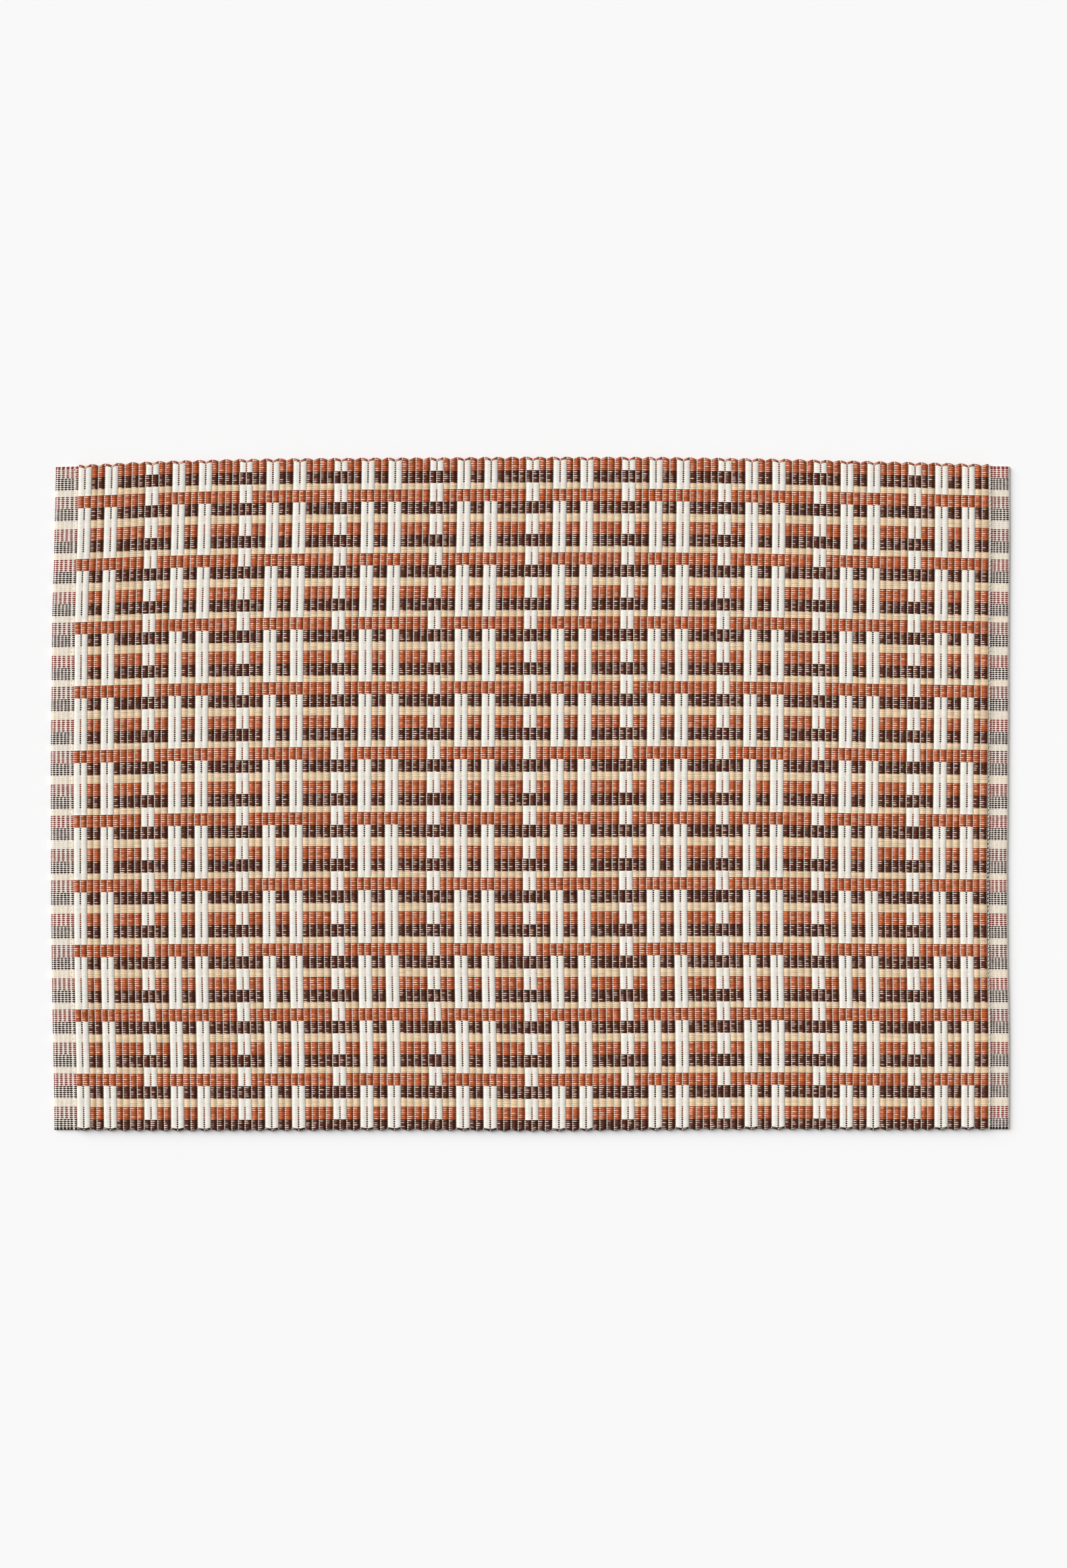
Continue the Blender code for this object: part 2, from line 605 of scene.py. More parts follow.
@dataclass
class RibbedCloth(WovenPiece):
    """The ribbed cloth between the hems, in lengths of one draft repeat."""

    back_rows: int = 108
    lengths_on_map: int = 3
    upper_share_on_map: float = 0.74
    margin_on_map: float = 0.006
    levels: YarnLevels = field(default_factory=YarnLevels)
    columns: int = 4
    flank: float = 0.15
    dotted_gap: float = 1.055
    column_slides: tuple[float, ...] = (0.0, 0.0, 0.5, 1.0)
    falling_end: tuple[float, ...] = (0.60, 0.90, 0.45, -0.30)
    rising_end: tuple[float, ...] = (-0.75, -0.30, 0.40, 0.95)

    @property
    def ribs(self) -> int:
        """Number of ribs in a repeat."""
        return len(self.cloth.draft.ribs)

    def _grid(self, face: bpy.types.Object) -> tuple[np.ndarray, np.ndarray, np.ndarray]:
        """Find each point's place in the grid of ribs and yarns.

        Args:
            face: a face of the ribbed cloth.

        Returns:
            Its rib, its column within the rib, and its place across the warp in yarn pairs.
        """
        weave = weave_of(face.data)
        column = np.rint(weave[:, 0] * self.columns).astype(int)
        return column // self.columns, column % self.columns, weave[:, 1]

    def _round_ribs(self, face: bpy.types.Object) -> None:
        """Raise the ribs and set their flanks apart.

        Args:
            face: a flat face of the ribbed cloth.
        """
        rib, column, _ = self._grid(face)
        aside = (1 / self.columns - self.flank) * self.cloth.rib_pitch
        shift(face, rib >= 0, (0.0, 0.0, self.cloth.thickness / 2))
        shift(face, column == 1, (-aside, 0.0, 0.0))
        shift(face, column == 3, (aside, 0.0, 0.0))

    def _widen_gaps(self, face: bpy.types.Object) -> None:
        """Give the gaps between ribs of one kind, which hold a thin cord, more room.

        Args:
            face: a face of the ribbed cloth.
        """
        rib, column, _ = self._grid(face)
        kinds = self.cloth.draft.ribs
        alike = np.array([kinds[index - 1] is kinds[index] for index in range(self.ribs)])
        others = (self.ribs - self.dotted_gap * alike.sum()) / (~alike).sum()
        room = np.where(alike, self.dotted_gap, others)
        room = np.append(room, room[0])
        starts = np.concatenate([[0.0], np.cumsum((room[:-1] + room[1:]) / 2)])
        slides = starts * self.ribs / starts[-1] - np.arange(self.ribs + 1)
        following = np.minimum(rib + 1, self.ribs)
        part = np.array(self.column_slides)[column]
        points = points_of(face.data)
        slide = (1 - part) * slides[rib] + part * slides[following]
        points[:, 0] += slide * self.cloth.rib_pitch
        write_points(face.data, points)

    def _lift_yarns(self, face: bpy.types.Object) -> None:
        """Sink the flanks and grooves, and each yarn by how the draft lifts it.

        Args:
            face: the upper face.
        """
        rib, column, place = self._grid(face)
        draft = self.cloth.draft
        up = draft.dyed_up(rib, place)
        border = up != draft.dyed_up(rib - 1, place)
        dyed = (np.rint(place * 2 - 0.5).astype(int) % 2 == 0) | draft.outermost(place)
        over = dyed == (up > 0.5)
        groove = column == 0
        crest = column == self.columns // 2
        flank = ~groove & ~crest
        low = self.levels
        shift(face, crest & ~over, (0.0, 0.0, -low.crest_under))
        shift(face, flank & over, (0.0, 0.0, -low.flank_over))
        shift(face, flank & ~over, (0.0, 0.0, -low.flank_under))
        shift(face, groove & border, (0.0, 0.0, -low.border))
        shift(face, groove & ~border & ~over, (0.0, 0.0, -low.dot))
        shift(face, groove & ~border & over, (0.0, 0.0, -low.beside_dot))

    def _sink_sides(self, face: bpy.types.Object) -> None:
        """Sink the flanks and grooves of the lower face, whose rows aren't single yarns.

        Args:
            face: the lower face.
        """
        _, column, _ = self._grid(face)
        low = self.levels
        flank = (column == 1) | (column == 3)
        shift(face, flank, (0.0, 0.0, -(low.flank_over + low.flank_under) / 2))
        shift(face, column == 0, (0.0, 0.0, -low.border))

    def _face(self, upper: bool) -> bpy.types.Object:
        """Shape one face of a repeat.

        Args:
            upper: True for the face that shows.

        Returns:
            The face, facing up.
        """
        pitch = self.cloth.rib_pitch
        rows = self.rows if upper else self.back_rows
        face = self.add_face(self.ribs * pitch, self.ribs * self.columns, rows, pitch)
        self._round_ribs(face)
        if upper:
            self._lift_yarns(face)
        else:
            self._sink_sides(face)
        self._widen_gaps(face)
        rib, column, _ = self._grid(face)
        falling, rising = np.array([self.falling_end, self.rising_end])[:, column]
        self.turn_edges(face, np.where(rib % 2 == 0, falling, rising))
        return face

    def _cut(self, piece: bpy.types.Object, ribs: int) -> None:
        """Cut a repeat off after some of its ribs, and wall the cut.

        Args:
            piece: a length of the cloth.
            ribs: how many ribs are left.
        """
        last = np.abs(weave_of(piece.data)[:, 0] - ribs) < SAME_COLUMN
        groove = points_of(piece.data)[last, 0].mean()
        edit(piece, np.ones(len(piece.data.vertices), dtype=bool))
        bpy.ops.mesh.bisect(
            plane_co=(float(groove), 0.0, 0.0),
            plane_no=(1.0, 0.0, 0.0),
            use_fill=True,
            clear_outer=True,
            threshold=self.weld / 4,
        )
        bpy.ops.object.mode_set(mode="OBJECT")

    def build(self, finish: bpy.types.Material) -> list[bpy.types.Object]:
        """Build every length of the ribbed cloth, each a copy of the first.

        Args:
            finish: the woven finish.

        Returns:
            The lengths, from left to right.
        """
        cloth = self.cloth
        first = self.close(self._face(upper=True), self._face(upper=False))
        first.data.materials.append(finish)
        pieces = []
        for start in range(0, cloth.draft.rib_count, self.ribs):
            only(first)
            bpy.ops.object.duplicate(linked=False)
            piece = bpy.context.object
            left_over = cloth.draft.rib_count - start
            if left_over < self.ribs:
                self._cut(piece, left_over)
            self.add_map(piece, self.ribs)
            weave = weave_of(piece.data)
            weave[:, 0] += start
            write_weave(piece.data, weave)
            name = f"ribbed_cloth_{len(pieces) + 1:02d}"
            self.settle(piece, name, cloth.left_hem + start * cloth.rib_pitch)
            pieces.append(piece)
        bpy.data.objects.remove(first, do_unlink=True)
        return pieces


@dataclass(frozen=True)
class HemShape:
    """A hem from its fold inwards, in millimetres.

    The section's points are a distance from the fold and half the thickness there. The picks are the
    places where the brown and the rust yarns come up, and the slip is how far the hem has moved along
    the ribs.
    """

    end: End
    section: tuple[tuple[float, float], ...]
    brown_picks: tuple[float, ...]
    rust_picks: tuple[float, ...]
    seam: float
    slip: float


LEFT_HEM = HemShape(
    end=End.LEFT,
    section=(
        (0.0, 0.0),
        (0.1, 0.85),
        (0.6, 1.28),
        (1.9, 1.40),
        (2.8, 1.33),
        (3.75, 1.40),
        (4.7, 1.33),
        (5.65, 1.40),
        (6.6, 1.33),
        (7.5, 1.40),
        (8.35, 1.33),
        (9.2, 1.34),
        (9.8, 1.05),
        (10.35, 0.85),
        (10.9, 0.95),
        (11.5, 1.02),
        (12.1, 0.70),
    ),
    brown_picks=(0.2, 1.9, 3.75, 5.65, 7.5, 9.2, 11.5),
    rust_picks=(0.4, 2.0, 4.2, 6.55, 9.0, 11.3),
    seam=10.35,
    slip=-0.12,
)
RIGHT_HEM = HemShape(
    end=End.RIGHT,
    section=(
        (0.0, 0.0),
        (0.1, 0.85),
        (0.5, 1.25),
        (1.4, 1.38),
        (2.25, 1.33),
        (3.1, 1.40),
        (4.0, 1.33),
        (4.95, 1.40),
        (5.8, 1.33),
        (6.65, 1.40),
        (7.45, 1.33),
        (8.2, 1.38),
        (8.9, 1.25),
        (9.6, 1.15),
        (10.0, 1.00),
        (10.4, 1.00),
        (11.0, 1.06),
    ),
    brown_picks=(1.4, 3.1, 4.95, 6.65, 8.2, 9.6),
    rust_picks=(1.6, 3.6, 5.9, 7.9, 9.6),
    seam=10.4,
    slip=-0.42,
)


@dataclass
class Hem(WovenPiece):
    """A plain-woven hem, folded under at the mat's end.

    It is pressed flatter than its section, all but the last few millimetres, which rise to the ribs.
    """

    shape: HemShape = LEFT_HEM
    relief: float = 0.07 * MM
    fullness: float = 0.66
    rise: float = 2.6
    slip_run: float = 0.25
    plain_fold: float = 1.0
    plain_edge: float = 0.1

    @property
    def width(self) -> float:
        """The hem's size from its fold to the ribs."""
        return self.shape.section[-1][0] * MM

    @property
    def start(self) -> float:
        """Where the hem starts, from the left fold."""
        return 0.0 if self.shape.end is End.LEFT else self.cloth.length - self.width

    @property
    def name(self) -> str:
        """The hem's name."""
        return f"{self.shape.end.name.lower()}_hem"

    def half_height(self, place: float) -> float:
        """Find half the hem's thickness.

        Args:
            place: a distance in millimetres from the fold, where the section has a point.

        Returns:
            The height of the upper face over the hem's middle there.
        """
        size = self.shape.section[-1][0]
        share = max(0.0, 1.0 - (size - place) / self.rise)
        return dict(self.shape.section)[place] * MM * (self.fullness + share * (1.0 - self.fullness))

    def sag(self, place: float) -> float:
        """Find how far the hem, lying on the table, sags below the cloth's middle.

        Args:
            place: a distance in millimetres from the fold, where the section has a point.

        Returns:
            How far its middle is below the cloth's there.
        """
        size = self.shape.section[-1][0]
        share = min(1.0, (size - place) / self.rise)
        return share * (self.cloth.thickness / 2 - self.half_height(place))

    def _lie_down(self, hem: bpy.types.Object) -> None:
        """Let the closed hem sag onto the table, and slip a little along the last rib.

        Args:
            hem: the closed hem, flat.
        """
        distance = weave_of(hem.data)[:, 0]
        points = points_of(hem.data)
        held = np.clip(points[:, 1] / (self.slip_run * self.cloth.width), 0.0, 1.0)
        points[:, 1] += self.shape.slip * MM * held
        write_points(hem.data, points)
        for place, _ in self.shape.section:
            shift(hem, np.abs(distance - place) < SAME_COLUMN, (0.0, 0.0, -self.sag(place)))

    def _face(self) -> bpy.types.Object:
        """Shape one face of the hem.

        Returns:
            The face, facing up.
        """
        section = np.array(self.shape.section)
        steps = len(section) - 1
        face = self.add_face(self.width, steps, self.rows, MM)
        weave = weave_of(face.data)
        column = np.rint(weave[:, 0] / section[-1][0] * steps).astype(int)
        distance = section[column, 0]
        points = points_of(face.data)
        points[:, 0] = distance * MM
        if self.shape.end is End.RIGHT:
            points[:, 0] = self.width - points[:, 0]
        write_points(face.data, points)
        weave[:, 0] = distance
        write_weave(face.data, weave)
        for index, (place, _) in enumerate(self.shape.section):
            shift(face, column == index, (0.0, 0.0, self.half_height(place)))
        dyed = np.rint(weave[:, 1] * 2 - 0.5).astype(int) % 2 == 0
        picked = np.isin(distance, self.shape.brown_picks)
        inner = (distance > self.plain_fold) & (distance < section[-1][0] - self.plain_edge)
        shift(face, inner & (dyed == picked), (0.0, 0.0, self.relief))
        shift(face, inner & (dyed != picked), (0.0, 0.0, -self.relief))
        self.turn_edges(face, np.zeros(len(points)))
        return face

    def build(self, finish: bpy.types.Material) -> bpy.types.Object:
        """Build the hem.

        Args:
            finish: the hem's woven finish.

        Returns:
            The hem.
        """
        hem = self.close(self._face(), self._face())
        hem.data.materials.append(finish)
        self.add_map(hem, self.shape.section[-1][0])
        self._lie_down(hem)
        self.settle(hem, self.name, self.start)
        return hem


class Knot(NamedTuple):
    """A stray stitch at a seam's end: how far aside and down it is, in mm, and its turn in degrees."""

    aside: float
    down: float
    turn: float


BACK_TACK = (
    Knot(-0.5, 1.6, 30.0),
    Knot(0.2, 1.3, -62.0),
    Knot(0.7, 2.6, 18.0),
    Knot(-0.2, 3.4, -24.0),
    Knot(0.5, 4.4, 35.0),
)


@dataclass
class HemStitches:
    """The row of lockstitches that holds a hem down.

    A stitch's outline has, for each point, its place along the stitch from -1 to 1, its height in
    millimetres and the thread's thickness there, as a share of the full one.
    """

    hem: Hem
    tack: tuple[Knot, ...] = ()
    pairs_a_stitch: float = 2.0
    radius: float = 0.26 * MM
    sides: int = 8
    outline: tuple[tuple[float, float, float], ...] = (
        (-0.98, -0.30, 0.35),
        (-0.80, -0.02, 0.85),
        (-0.40, 0.14, 1.0),
        (0.0, 0.20, 1.05),
        (0.40, 0.14, 1.0),
        (0.80, -0.02, 0.85),
        (0.98, -0.30, 0.35),
    )
    slant: float = 0.08
    first_at: float = 1.2
    knot_rise: float = 0.12 * MM

    @property
    def length(self) -> float:
        """The length of a stitch."""
        return self.pairs_a_stitch * self.hem.cloth.pair_pitch

    def _one(self) -> bpy.types.Object:
        """Model one stitch along Y: a circle extruded along its arc.

        Returns:
            The stitch, at the origin.
        """
        first, *rest = self.outline
        half = self.length / 2
        bpy.ops.mesh.primitive_circle_add(
            vertices=self.sides,
            radius=self.radius * first[2],
            fill_type="NGON",
            location=(0.0, first[0] * half, first[1] * MM),
            rotation=(math.radians(90), 0.0, 0.0),
        )
        stitch = bpy.context.object
        bpy.ops.object.transform_apply(location=True, rotation=True, scale=True)
        bpy.ops.object.mode_set(mode="EDIT")
        bpy.ops.mesh.select_all(action="SELECT")
        for before, after in zip(self.outline, rest):
            step = (0.0, (after[0] - before[0]) * half, (after[1] - before[1]) * MM)
            bpy.ops.mesh.extrude_region_move(TRANSFORM_OT_translate={"value": step})
            centre = (0.0, after[0] * half, after[1] * MM)
            grow = after[2] / before[2]
            bpy.ops.transform.resize(value=(grow, 1.0, grow), center_override=centre)
        bpy.ops.mesh.select_all(action="SELECT")
        bpy.ops.mesh.normals_make_consistent(inside=False)
        bpy.ops.object.mode_set(mode="OBJECT")
        return stitch

    def _tie(self, stitch: bpy.types.Object, middle: Place) -> list[bpy.types.Object]:
        """Tie the knots at the seam's far end.

        Args:
            stitch: the row's first stitch, in its place.
            middle: its middle.

        Returns:
            The knots.
        """
        knots = []
        for knot in self.tack:
            only(stitch)
            bpy.ops.object.duplicate(linked=False)
            turn = math.radians(knot.turn)
            bpy.ops.transform.rotate(value=turn, orient_axis="Z", center_override=middle)
            away = self.hem.cloth.width - middle[1] - knot.down * MM
            bpy.ops.transform.translate(value=(knot.aside * MM, away, self.knot_rise))
            knots.append(bpy.context.object)
        return knots

    def build(self, finish: bpy.types.Material) -> bpy.types.Object:
        """Sew the row of stitches.

        Args:
            finish: the sewing thread's finish.

        Returns:
            The whole row as one piece.
        """
        hem = self.hem
        end = hem.shape.end
        seam = hem.shape.seam
        across = seam * MM if end is End.LEFT else hem.width - seam * MM
        middle = (across, self.first_at * self.length, hem.half_height(seam) - hem.sag(seam))
        stitch = self._one()
        only(stitch)
        lean = self.slant * end.value
        bpy.ops.transform.rotate(value=lean, orient_axis="Z", center_override=ORIGIN)
        bpy.ops.transform.translate(value=middle)
        bpy.ops.object.transform_apply(location=True, rotation=True, scale=True)
        copies = [stitch, *self._tie(stitch, middle)]
        only(stitch)
        for _ in range(int(hem.cloth.width / self.length) - 2):
            bpy.ops.object.duplicate(linked=False)
            bpy.ops.transform.translate(value=(0.0, self.length, 0.0))
            copies.append(bpy.context.object)
        for copy in copies:
            copy.select_set(True)
        bpy.context.view_layer.objects.active = stitch
        bpy.ops.object.join()
        bpy.ops.object.transform_apply(location=True, rotation=True, scale=True)
        stitch.data.materials.append(finish)
        stitch.name = f"{end.name.lower()}_hem_stitches"
        stitch.data.name = stitch.name
        hem.cloth.lay(stitch, hem.start)
        only(stitch)
        bpy.ops.object.shade_smooth()
        return stitch


Colour = tuple[float, float, float]


@dataclass(frozen=True)
class Dyes:
    """The yarns' colours, as linear reflectances."""

    cream: Colour = (0.845, 0.815, 0.745)
    rust: Colour = (0.50, 0.107, 0.030)
    brown: Colour = (0.094, 0.023, 0.010)
    straw: Colour = (0.765, 0.57, 0.358)
    # blush is the pink of the glints and grooves: the hidden cream yarn, mixed with painted highlight
    # and painted reflected light.
    blush: Colour = (0.88, 0.63, 0.50)
    wine: Colour = (0.21, 0.026, 0.016)

    def of(self, dye: Dye) -> Colour:
        """Return the colour of a stripe's dyed yarn."""
        return {Dye.RUST: self.rust, Dye.BROWN: self.brown, Dye.STRAW: self.straw}[dye]


@dataclass(frozen=True)
class Wire:
    """What a node puts out. Each sum, product or comparison of wires adds a node."""

    graph: Graph
    socket: bpy.types.NodeSocket

    def __add__(self, other: Value) -> Wire:
        """Add a value."""
        return self.graph.math("ADD", self, other)

    def __sub__(self, other: Value) -> Wire:
        """Take a value away."""
        return self.graph.math("SUBTRACT", self, other)

    def __rsub__(self, other: float) -> Wire:
        """Take this away from a number."""
        return self.graph.math("SUBTRACT", other, self)

    def __mul__(self, other: Value) -> Wire:
        """Multiply by a value."""
        return self.graph.math("MULTIPLY", self, other)

    def __truediv__(self, other: Value) -> Wire:
        """Divide by a value."""
        return self.graph.math("DIVIDE", self, other)

    def __pow__(self, power: float) -> Wire:
        """Raise to a power."""
        return self.graph.math("POWER", self, power)

    def __abs__(self) -> Wire:
        """Drop the sign."""
        return self.graph.math("ABSOLUTE", self)

    def __lt__(self, other: Value) -> Wire:
        """Return 1 where this is less than a value, and 0 elsewhere."""
        return self.graph.math("LESS_THAN", self, other)

    def __gt__(self, other: Value) -> Wire:
        """Return 1 where this is more than a value, and 0 elsewhere."""
        return self.graph.math("GREATER_THAN", self, other)

    def least(self, other: Value) -> Wire:
        """Take the lesser of two values."""
        return self.graph.math("MINIMUM", self, other)

    def most(self, other: Value) -> Wire:
        """Take the greater of two values."""
        return self.graph.math("MAXIMUM", self, other)

    def floor(self) -> Wire:
        """Round down."""
        return self.graph.math("FLOOR", self)

    def fract(self) -> Wire:
        """Take what is left over from rounding down."""
        return self.graph.math("FRACT", self)

    def round(self) -> Wire:
        """Round to the nearest whole number."""
        return self.graph.math("ROUND", self)

    def root(self) -> Wire:
        """Take the square root."""
        return self.graph.math("SQRT", self)

    def sine(self) -> Wire:
        """Take the sine."""
        return self.graph.math("SINE", self)

    def part(self, index: int) -> Wire:
        """Take one of the three parts of a vector or a colour."""
        return self.graph.node("SeparateXYZ", {0: self}, index)

    def fade(self, start: float, end: float) -> Wire:
        """Ramp smoothly from 0 where the value is start to 1 where it is end.

        Args:
            start: where the ramp starts.
            end: where it ends, below or above the start.

        Returns:
            The ramp's height.
        """
        numbers = (start, end, 0.0, 1.0) if start < end else (end, start, 1.0, 0.0)
        sockets = dict(enumerate((self, *numbers)))
        return self.graph.node("MapRange", sockets, interpolation_type="SMOOTHSTEP")


Value = float | Wire


@dataclass(frozen=True)
class Spread:
    """A value that depends on chance: the least that it is, and the most that chance adds."""

    least: float
    added: float

    def at(self, luck: Wire) -> Wire:
        """Return the value for a luck from 0 to 1."""
        return luck * self.added + self.least


class Graph:
    """A material's nodes, added one expression at a time."""

    def __init__(self, name: str) -> None:
        """Start a material with a bare principled shader.

        Args:
            name: the material's name.
        """
        self.material = bpy.data.materials.new(name)
        self.material.use_nodes = True
        self.tree = self.material.node_tree
        self.shader = self.tree.nodes["Principled BSDF"]

    def _plug(self, socket: bpy.types.NodeSocket, value: Value | Colour) -> None:
        """Link a socket to a wire, or set it.

        Args:
            socket: an input of a node.
            value: what goes into it.
        """
        if isinstance(value, Wire):
            self.tree.links.new(value.socket, socket)
        elif isinstance(value, tuple) and len(socket.default_value) == 4:
            socket.default_value = (*value, 1.0)
        else:
            socket.default_value = value

    def set(self, name: str, value: Value | Colour) -> None:
        """Link or set one of the shader's inputs."""
        self._plug(self.shader.inputs[name], value)

    def node(
        self,
        kind: str,
        sockets: dict[int | str, Value | Colour],
        output: int | str = 0,
        **settings: str,
    ) -> Wire:
        """Add a node.

        Args:
            kind: its type.
            sockets: what goes into its inputs, by their number or name.
            output: the output that is read.
            settings: its other settings.

        Returns:
            What it puts out.
        """
        node = self.tree.nodes.new(f"ShaderNode{kind}")
        for name, value in settings.items():
            setattr(node, name, value)
        for socket, value in sockets.items():
            self._plug(node.inputs[socket], value)
        return Wire(self, node.outputs[output])

    def math(self, operation: str, *values: Value) -> Wire:
        """Add a math node."""
        return self.node("Math", dict(enumerate(values)), operation=operation)

    def blend(self, share: Value, first: Wire | Colour, second: Wire | Colour) -> Wire:
        """Mix two colours, with so much of the second."""
        sockets = {"Factor": share, 6: first, 7: second}
        return self.node("Mix", sockets, 2, data_type="RGBA")

    def shade(self, colour: Wire | Colour, strength: Value) -> Wire:
        """Multiply a colour by a grey value."""
        return self.node("VectorMath", {0: colour, "Scale": strength}, operation="SCALE")

    def dot(self, first: Wire, second: Wire) -> Wire:
        """Return the dot product of two vectors."""
        return self.node("VectorMath", {0: first, 1: second}, "Value", operation="DOT_PRODUCT")

    def place(self) -> Wire:
        """Read the object coordinates."""
        return self.node("TexCoord", {}, "Object")

    def chance(self, *values: Value) -> Wire:
        """Return a random number from 0 to 1 that belongs to three values."""
        vector = self.node("CombineXYZ", dict(enumerate(values)))
        return self.node("TexWhiteNoise", {"Vector": vector}, "Value", noise_dimensions="3D")

    def noise(self, scale: float, detail: float) -> Wire:
        """Add smooth noise around 0.5, with so many finer layers."""
        return self.node("TexNoise", {"Vector": self.place(), "Scale": scale, "Detail": detail})

    def steps(self, where: Wire, stops: list[tuple[float, Colour]], smooth: bool = False) -> Wire:
        """Add a ramp of colours.

        Args:
            where: the place on the ramp, from 0 to 1.
            stops: the start of each step and its colour.
            smooth: True to blend from each stop to the next.

        Returns:
            The colour at that place.
        """
        node = self.tree.nodes.new("ShaderNodeValToRGB")
        ramp = node.color_ramp
        ramp.interpolation = "LINEAR" if smooth else "CONSTANT"
        for element, (position, colour) in zip(ramp.elements, stops):
            element.position = position
            element.color = (*colour, 1.0)
        for position, colour in stops[2:]:
            ramp.elements.new(position).color = (*colour, 1.0)
        self._plug(node.inputs[0], where)
        return Wire(self, node.outputs["Color"])

    def bump(self, height: Wire, strength: float) -> None:
        """Raise the surface by a height in metres."""
        sockets = {"Strength": strength, "Distance": 1.0, "Height": height}
        self.set("Normal", self.node("Bump", sockets))


@dataclass(frozen=True)
class CottonSurface:
    """How cotton yarn takes light."""

    roughness: float = 0.58
    specular: float = 0.14
    sheen: float = 0.02
    sheen_roughness: float = 0.5
    fuzz_scale: float = 5200.0
    fuzz_detail: float = 2.0
    fuzz_rise: float = 0.05 * MM
    relief_strength: float = 0.8

    def apply(self, graph: Graph) -> None:
        """Set the shader's constants.

        Args:
            graph: the material's nodes.
        """
        graph.set("Roughness", self.roughness)
        graph.set("Specular IOR Level", self.specular)
        graph.set("Sheen Weight", self.sheen)
        graph.set("Sheen Roughness", self.sheen_roughness)


@dataclass(frozen=True)
class Mottle:
    """How uneven the yarns' brightness is, and how much less it shows on pale yarn."""

    least: float = 0.55
    yarn: float = 0.12
    each: float = 0.48
    patch: float = 0.22
    patch_scale: float = 260.0
    patch_detail: float = 3.0
    all_floats: float = 3.0
    yarn_seed: float = 7.0
    each_seed: float = 11.0
    fibre: float = 0.12
    fibre_scale: float = 2400.0
    fibre_detail: float = 2.0
    on_black: float = 1.12
    less_on_white: float = 1.15

    def strength(self, graph: WovenGraph, floats: Wire, colour: Wire) -> Wire:
        """Find the brightness of a place, near 1 and closer to it on pale yarn.

        Args:
            graph: the material's nodes.
            floats: the place along the warp, in floats.
            colour: the yarn's colour there.

        Returns:
            The brightness.
        """
        across = (graph.pairs * 2.0).floor()
        yarn = graph.chance(across, self.all_floats, self.yarn_seed)
        each = graph.chance(across, floats.floor(), self.each_seed)
        patch = graph.noise(self.patch_scale, self.patch_detail)
        fibre = graph.noise(self.fibre_scale, self.fibre_detail)
        threads = yarn * self.yarn + self.least + each * self.each
        whole = threads + patch * self.patch + fibre * self.fibre
        depth = colour.part(1) * -self.less_on_white + self.on_black
        return (whole - 1.0) * depth + 1.0


class WovenGraph(Graph):
    """A woven material's nodes, with what the ribs and the hems share."""

    def __init__(self, name: str, cloth: Cloth, dyes: Dyes) -> None:
        """Start a material, and find the yarns and the stripe of each place.

        Args:
            name: the material's name.
            cloth: the cloth's sizes and draft.
            dyes: the yarns' colours.
        """
        super().__init__(name)
        self.draft = cloth.draft
        weave = self.node("Attribute", {}, "Vector", attribute_name="weave")
        self.along = weave.part(0)
        self.pairs = weave.part(1)
        self.from_dyed = abs((self.pairs + HALF_YARN).fract() - 0.5)
        self.from_cream = 0.5 - self.from_dyed
        self.inwards = self.pairs.least(self.draft.across - self.pairs)
        self.outermost = self.inwards < self.draft.edge_yarn
        counts = [stripe.pairs for stripe in self.draft.stripes]
        colours = [dyes.of(stripe.dye) for stripe in self.draft.stripes]
        flags = [stripe.flags for stripe in self.draft.stripes]
        inside = self.pairs.most(0.0).floor().least(self.draft.pair_count - 1.0)
        repeats = (inside + (self.draft.first_pair + 0.5)) / float(self.draft.repeat_pairs)
        self.dye = self.steps(repeats.fract(), self._stops(colours, counts))
        self.lifts = self.steps(repeats.fract(), self._stops(flags, counts))

    def _stops(self, colours: list[Colour], counts: list[int]) -> list[tuple[float, Colour]]:
        """Set out a ramp's steps, so many units each."""
        total = sum(counts)
        return [(sum(counts[:index]) / total, colour) for index, colour in enumerate(colours)]

    def kind(self, rib: Wire) -> Wire:
        """Find the kind of a rib.

        Args:
            rib: the rib's number, plus a half.

        Returns:
            The flags of its kind, as a colour.
        """
        ribs = self.draft.ribs
        starts = [index for index, kind in enumerate(ribs) if index == 0 or ribs[index - 1] is not kind]
        stops = [(start / len(ribs), ribs[start].value) for start in starts]
        return self.steps((rib / float(len(ribs))).fract(), stops)

    def dress(self, colour: Wire, floats: Wire, relief: Wire) -> bpy.types.Material:
        """Give the shader its mottled colour, its relief and cotton's way with light.

        Args:
            colour: the yarns' colour.
            floats: the place along the warp, in floats.
            relief: the height of the weave's relief, in metres.

        Returns:
            The material.
        """
        cotton = CottonSurface()
        self.set("Base Color", self.shade(colour, Mottle().strength(self, floats, colour)))
        fuzz = self.noise(cotton.fuzz_scale, cotton.fuzz_detail) * cotton.fuzz_rise
        self.bump(relief + fuzz, cotton.relief_strength)
        cotton.apply(self)
        return self.material


class Tops(NamedTuple):
    """What the two ribs beside the nearest groove bring to the top, and what is on top here."""

    left_kind: Wire
    right_kind: Wire
    left: Wire
    right: Wire
    here: Wire


